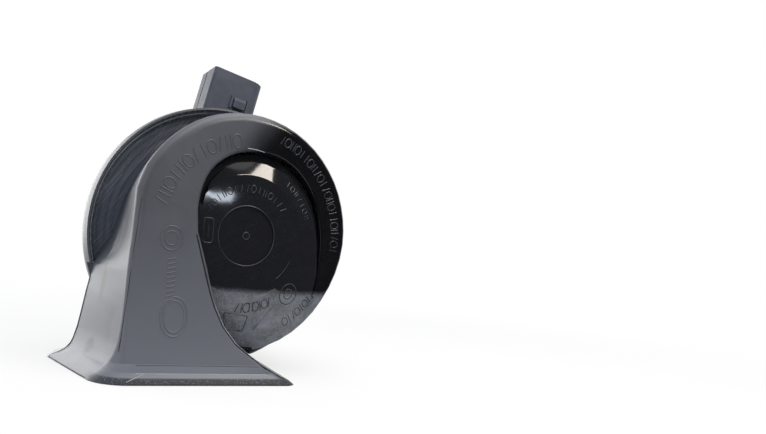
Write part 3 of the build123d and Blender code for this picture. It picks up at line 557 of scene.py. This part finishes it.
# A row of plain bars and rings along an arc. The pattern's letters: o ring, = two bars, / leaning
# bar, | upright bar.
def markRow(r, start, end, count, height, pattern):
    out = []
    for i in range(count):
        a = math.radians(start + (end - start) * i / (count - 1))
        kind = pattern[i % len(pattern)]
        if kind == "o":
            out.append(oval(r * math.cos(a), r * math.sin(a), markShape["halfWide"] * height, height / 2, 16,
                            a - math.pi / 2))
        else:
            for side in ((-markShape["apart"], markShape["apart"]) if kind == "=" else (0,)):
                b = a + side * height / r
                lean = markShape["lean"] * height / r if kind == "/" else 0
                out.append([((r - height / 2) * math.cos(b + lean), (r - height / 2) * math.sin(b + lean)),
                            ((r + height / 2) * math.cos(b - lean), (r + height / 2) * math.sin(b - lean))])
    return out


# round beads along lines of places in metres
def makeBeads(name, lines, radius, material):
    data = bpy.data.curves.new(name, "CURVE")
    data.dimensions = "3D"
    data.bevel_depth = radius / 1000
    data.bevel_resolution = 2
    data.use_fill_caps = True
    for places, closed in lines:
        spline = data.splines.new("POLY")
        spline.points.add(len(places) - 1)
        for point, spot in zip(spline.points, places):
            point.co = (*spot, 1)
        spline.use_cyclic_u = closed
    piece = bpy.data.objects.new(name, data)
    bpy.context.collection.objects.link(piece)
    data.materials.append(finishes[material])
    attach(piece, "root")
    return piece


# Beads laid on a shell: each line of x and z is dropped onto it from in front, and sunk in by a
# share of the bead's radius.
dropFrom = -0.12    # y in metres, clear of the front face


def layBeads(name, tree, lines, radius, material, sink=0.35):
    laid = []
    for line in lines:
        closed = line[0] == line[-1] and len(line) > 3
        points = line[:-1] if closed else line
        dropped = []
        for x, z in points:
            start = Vector((x / 1000, dropFrom, z / 1000))
            spot, normal, index, distance = tree.ray_cast(start, Vector((0, 1, 0)))
            if spot is not None:
                dropped.append(spot + Vector((0, sink * radius / 1000, 0)))
        if len(dropped) > 1:
            laid.append((dropped, closed and len(dropped) == len(points)))
    return makeBeads(name, laid, radius, material)


# All marks are in mm. A row is: radius, first and last angle, count, height, pattern.
neckMarks = {"oval": (-24.1, -28.0), "ovalHalf": (4.6, 6.4), "ovalInner": (3.5, 5.1),
             "ring": (-26.7, -2.8), "ringHalf": (3.7, 3.9), "ringInner": (2.1, 2.3),
             "barsTop": -9.4, "barsEnd": -22.8, "bars": 10, "barFrom": -27.3, "barTo": -24.6, "barRise": 0.35,
             "bead": 0.32}
lines = [oval(*neckMarks["oval"], *neckMarks["ovalHalf"]),
         oval(*neckMarks["oval"], *neckMarks["ovalInner"]),
         oval(*neckMarks["ring"], *neckMarks["ringHalf"]),
         oval(*neckMarks["ring"], *neckMarks["ringInner"], 20)]
for i in range(neckMarks["bars"]):
    z = neckMarks["barsTop"] + (neckMarks["barsEnd"] - neckMarks["barsTop"]) * i / (neckMarks["bars"] - 1)
    lines.append([(neckMarks["barFrom"], z - neckMarks["barRise"]),
                  (neckMarks["barTo"], z + neckMarks["barRise"])])
layBeads("neckMarks", frontTree, lines, neckMarks["bead"], "etchedNylon")

ductMarks = {"left": (32.2, 164, 100, 12, 4.6, "/=o|=o/|o"), "leftBead": 0.31,
             "right": (36.4, 71, -4, 22, 3.2, "/o=o||o=/o|"), "rightBead": 0.22}
layBeads("ductMarksLeft", frontTree, markRow(*ductMarks["left"]), ductMarks["leftBead"], "etchedNylon")
layBeads("ductMarksRight", frontTree, markRow(*ductMarks["right"]), ductMarks["rightBead"], "dulledNylon")

whorlMarks = {
    "bead": 0.19,
    "rows": ((16.2, 148, 38, 15, 2.4, "/o|=o|/"), (24.2, 52, 20, 7, 2.2, "|o=/"),
             (24.6, -64, -92, 8, 3.4, "/o|o=o|"), (35.2, -56, -33, 8, 3.2, "o|/o|")),
    "circle": (18.3, -19.1), "circleRadii": (3.7, 1.8),
    "arc": (18.4, -24, -49), "stroke": ((7.3, -32.3), (12.4, -24.5)),
    "plate": (-0.8, -29.7, 4.4, 2.8, 0.5, -0.12),       # place, half size, corner, turn
    "tag": (-13.8, 0.8), "tagHalf": (1.7, 4.1), "tagCorner": 0.8, "tagBar": 2.2,
    "middle": 1.2, "disc": 10.2,                        # radii of the rings about the middle
}
lines = [line for row in whorlMarks["rows"] for line in markRow(*row)]
outer, inner = whorlMarks["circleRadii"]
lines += [oval(*whorlMarks["circle"], outer, outer), oval(*whorlMarks["circle"], inner, inner, 18)]
lines += [arcLine(*whorlMarks["arc"]), list(whorlMarks["stroke"]), roundedBox(*whorlMarks["plate"])]
x, z = whorlMarks["tag"]
lines += [roundedBox(x, z, *whorlMarks["tagHalf"], whorlMarks["tagCorner"]),
          [(x, z - whorlMarks["tagBar"]), (x, z + whorlMarks["tagBar"])]]
lines += [oval(0, 0, whorlMarks["middle"], whorlMarks["middle"], 18),
          oval(0, 0, whorlMarks["disc"], whorlMarks["disc"], 48)]
layBeads("whorlMarks", frontTree, lines, whorlMarks["bead"], "dulledNylon")

dishMarks = {"bead": 0.2, "rings": (44.6, 42.9, 41.6, 39.0), "ringAngles": (96, 214),
             "loops": ((129, 137.5), (139, 148)), "loopRadii": (44.0, 42.0),
             "pip": (-26.1, 35.9), "pipRadii": (0.9, 0.35)}
lines = [arcLine(r, *dishMarks["ringAngles"], 60) for r in dishMarks["rings"]]
for start, end in dishMarks["loops"]:
    outer = arcLine(dishMarks["loopRadii"][0], start, end, 8)
    inner = arcLine(dishMarks["loopRadii"][1], end, start, 8)
    lines.append(outer + inner + outer[:1])
outer, inner = dishMarks["pipRadii"]
lines += [oval(*dishMarks["pip"], outer, outer, 14), oval(*dishMarks["pip"], inner, inner, 10)]
layBeads("dishMarks", rearTree, lines, dishMarks["bead"], "turnedNylon")

# Thin lines along edges of the mould, in mm. Dark beads are painted shade: along the neck's front edge, the
# crease above the lip of the mouth, beside the whorl, down the parting and under the mouth. Pale beads are
# painted highlights on edges. Arcs are radius, first and last angle.
edgeLines = {
    "neckEdge": [(-37.4, 9.4), (-38.0, 0.4), (-38.7, -7.5), (-39.2, -15.0), (-39.7, -23.4), (-40.5, -32.8),
                 (-41.2, -39.6)],
    "crease": [(-36.0, -43.35), (-21.6, -43.3), (-6.0, -43.3), (5.5, -43.4)],
    "lipEdge": [(-37.0, -45.0), (-34.0, -44.98), (-22.8, -44.98), (-6.0, -44.98), (6.0, -45.05),
                (13.0, -46.6)],
    "lipCornerLine": [(-40.0, -47.3), (-37.4, -46.2), (-34.2, -45.0)],
    "hollowTop": (29.8, 93, 80),        # upper edge of the hollow round the whorl
    "whorlRim": (41.6, -70, -30),       # lower right rim of the whorl
    "dishLedge": (47.0, 98, 206),       # ledge inside the dish wall
    "rimTail": (48.6, -71, -56),        # rim of the dish where it runs in behind the neck
    # the neck's edge beside the whorl: a pale line of painted highlight on it, and a dark line of painted
    # shade inside that; how far each lies inside it, and the heights between which the pale one runs
    "neckRight": [(-17.4, -1.0), (-15.9, -5.5), (-13.8, -12.0), (-11.6, -19.0), (-9.6, -24.3), (-6.3, -30.7),
                  (-1.4, -36.5), (4.6, -40.8), (7.7, -43.0), (11.0, -45.0), (14.0, -46.6)],
    "neckRightDark": 1.05, "neckRightPale": 0.35, "paleFrom": -20, "paleTo": -42,
    # parting of the shells down the left side, and the lower edge of the mouth, both drawn as dark lines of
    # painted shade: x, y and z
    "parting": [(-44.4, 3.4, -12.0), (-45.7, 3.4, -19.0), (-46.7, 3.4, -24.3), (-47.7, 3.4, -30.7),
                (-48.7, 3.4, -36.5), (-49.9, 3.4, -41.0), (-50.8, 3.4, -43.0), (-52.3, 3.4, -44.8),
                (-54.3, 3.4, -46.0), (-57.0, 3.4, -47.2), (-58.0, 3.4, -47.9)],
    "mouthEdge": [(-58.0, 3.2, -47.9), (-55.1, -12.0, -47.95), (-52.0, -28.0, -47.95), (-50.5, -34.5, -47.95),
                  (-48.3, -39.4, -47.95), (-44.2, -42.9, -47.95), (-39.0, -44.2, -47.95),
                  (-20.0, -44.25, -47.95), (14.0, -44.25, -47.95)],
    # radii of the beads
    "thinBead": 0.12, "shadeBead": 0.4, "partingBead": 0.22, "mouthBead": 0.2, "highlightBead": 0.13,
    "ledgeBead": 0.14,
}
neckDark = [(x - edgeLines["neckRightDark"], z) for x, z in edgeLines["neckRight"]]
neckPale = [(x - edgeLines["neckRightPale"], z) for x, z in edgeLines["neckRight"]
            if edgeLines["paleTo"] < z < edgeLines["paleFrom"]]
# dark beads of painted shade: the neck's front edge, the crease, the neck's edge beside the whorl, the
# parting and the mouth's lower edge
layBeads("neckEdge", frontTree, [edgeLines["neckEdge"], edgeLines["crease"]], edgeLines["thinBead"],
         "paintedShadeNylon", sink=0.6)
layBeads("neckShade", frontTree, [neckDark], edgeLines["shadeBead"], "paintedShadeNylon", sink=0.75)
for name, line, bead in (("partingLine", "parting", "partingBead"), ("mouthEdge", "mouthEdge", "mouthBead")):
    makeBeads(name, [([atLip(*spot) for spot in edgeLines[line]], False)], edgeLines[bead], "paintedShadeNylon")
# pale beads of painted highlight on the lip's edge, the lip's left corner, the neck's edge, the hollow and
# the whorl's rim
lines = [edgeLines["lipEdge"], edgeLines["lipCornerLine"], neckPale, arcLine(*edgeLines["hollowTop"], 10),
         arcLine(*edgeLines["whorlRim"], 16)]
layBeads("paintedHighlightEdges", frontTree, lines, edgeLines["highlightBead"], "paintedHighlightNylon", sink=0.4)
# pale beads of painted highlight on the dish's ledge and rim
lines = [arcLine(*edgeLines["dishLedge"], 60), arcLine(*edgeLines["rimTail"], 12)]
layBeads("dishLedge", rearTree, lines, edgeLines["ledgeBead"], "paintedHighlightNylon", sink=0.4)
print("marks laid")

# pale floor that keeps the shadow, and fades into the white surround
floorLook = {"size": 3.0, "drop": 0.0001, "colour": "#e9e9e9", "seenWhite": 0.72,
             "whiteFrom": 0.10, "whiteTo": 0.45}       # metres from the horn
bm = bmesh.new()
bmesh.ops.create_grid(bm, x_segments=2, y_segments=2, size=floorLook["size"] / 2)
bmesh.ops.translate(bm, verts=bm.verts, vec=(0, 0, cadLow.z - floorLook["drop"]))
floorMesh = bpy.data.meshes.new("floor")
bm.to_mesh(floorMesh)
bm.free()
floor = bpy.data.objects.new("floor", floorMesh)
bpy.context.collection.objects.link(floor)
floorMaterial = bpy.data.materials.new("paleFloor")
floorMaterial.use_nodes = True
tree = floorMaterial.node_tree
tree.nodes.clear()
place = addNode(tree, "ShaderNodeTexCoord")
path = addNode(tree, "ShaderNodeLightPath")
away = addNode(tree, "ShaderNodeVectorMath", {"operation": "LENGTH"}, {0: (place, "Object")})
fade = addNode(tree, "ShaderNodeMapRange", {"interpolation_type": "SMOOTHSTEP"},
               {"Value": (away, "Value"), "From Min": floorLook["whiteFrom"],
                "From Max": floorLook["whiteTo"], "To Min": floorLook["seenWhite"], "To Max": 1.0})
seen = addNode(tree, "ShaderNodeMath", {"operation": "MULTIPLY"}, {0: fade, 1: (path, "Is Camera Ray")})
matte = addNode(tree, "ShaderNodeBsdfDiffuse", None, {"Color": toLinear(floorLook["colour"])})
white = addNode(tree, "ShaderNodeEmission", None, {"Color": (1, 1, 1, 1), "Strength": 1.0})
both = addNode(tree, "ShaderNodeMixShader", None, {0: seen, 1: matte, 2: white})
addNode(tree, "ShaderNodeOutputMaterial", inputs={"Surface": both})
floorMesh.materials.append(floorMaterial)

# Black cloth in front and on the table, seen only in the gloss of the plastic. Its profile is radius
# and height in metres, swept about the centre between two angles.
clothShape = {"profile": ((0.082, -0.047), (0.30, -0.046), (0.36, 0.02), (0.33, 0.16), (0.24, 0.27)),
              "centre": (0.0, -0.03), "from": -42, "to": 100, "steps": 24, "colour": "#050505", "rough": 0.9}
bm = bmesh.new()
columns = []
for i in range(clothShape["steps"] + 1):
    a = math.radians(clothShape["from"] + (clothShape["to"] - clothShape["from"]) * i / clothShape["steps"])
    columns.append([bm.verts.new((clothShape["centre"][0] + r * math.sin(a),
                                  clothShape["centre"][1] - r * math.cos(a), z))
                    for r, z in clothShape["profile"]])
for left, right in zip(columns, columns[1:]):
    for i in range(len(left) - 1):
        bm.faces.new((left[i], right[i], right[i + 1], left[i + 1]))
clothMesh = bpy.data.meshes.new("blackCloth")
bm.to_mesh(clothMesh)
bm.free()
cloth = bpy.data.objects.new("blackCloth", clothMesh)
bpy.context.collection.objects.link(cloth)
cloth.visible_camera = False
cloth.visible_diffuse = False
cloth.visible_shadow = False
clothMaterial, tree, shader, place = startMaterial("blackCloth")
shader.inputs["Base Color"].default_value = toLinear(clothShape["colour"])
shader.inputs["Roughness"].default_value = clothShape["rough"]
clothMesh.materials.append(clothMaterial)

# lamps: power in watts, size in metres, place and aim
lampSetup = {
    "overhead": {"power": 2.9, "size": (0.7, 0.5), "place": (0.05, -0.15, 0.65), "colour": "#f4f7ff"},
    "window": {"power": 0.008, "size": (0.024, 0.007), "place": (0.051, -0.257, 0.031), "colour": "#e6f0ff"},
    "topStrip": {"power": 0.34, "size": (0.14, 0.05), "place": (0.115, -0.222, 0.20), "colour": "#fff6ea"},
    "rearWhite": {"power": 3.4, "size": (0.6, 0.6), "place": (-0.30, 0.62, 0.05), "colour": "#ffffff"},
}
aimPoint = Vector((0.0, -0.05, 0.0))
for name, lamp in lampSetup.items():
    data = bpy.data.lights.new(name, "AREA")
    data.shape = "RECTANGLE"
    data.size, data.size_y = lamp["size"]
    data.energy = lamp["power"]
    data.color = toLinear(lamp["colour"])[:3]
    piece = bpy.data.objects.new(name, data)
    bpy.context.collection.objects.link(piece)
    piece.location = lamp["place"]
    piece.rotation_euler = (aimPoint - Vector(lamp["place"])).to_track_quat("-Z", "Y").to_euler()
    piece.visible_camera = False

# white surround: full white to the eye and in gloss, a plain level for light
surround = {"level": 0.55}
world = bpy.data.worlds.new("surround")
world.use_nodes = True
tree = world.node_tree
tree.nodes.clear()
path = addNode(tree, "ShaderNodeLightPath")
eye = addNode(tree, "ShaderNodeMath", {"operation": "MAXIMUM"},
              {0: (path, "Is Camera Ray"), 1: (path, "Is Glossy Ray")})
eye = addNode(tree, "ShaderNodeMath", {"operation": "MAXIMUM"}, {0: eye, 1: (path, "Is Transmission Ray")})
level = addNode(tree, "ShaderNodeMapRange", None, {"Value": eye, "To Min": surround["level"], "To Max": 1.0})
glow = addNode(tree, "ShaderNodeBackground", None, {"Color": (1, 1, 1, 1), "Strength": level})
addNode(tree, "ShaderNodeOutputWorld", inputs={"Surface": glow})
bpy.context.scene.world = world
print("stage and lamps set")
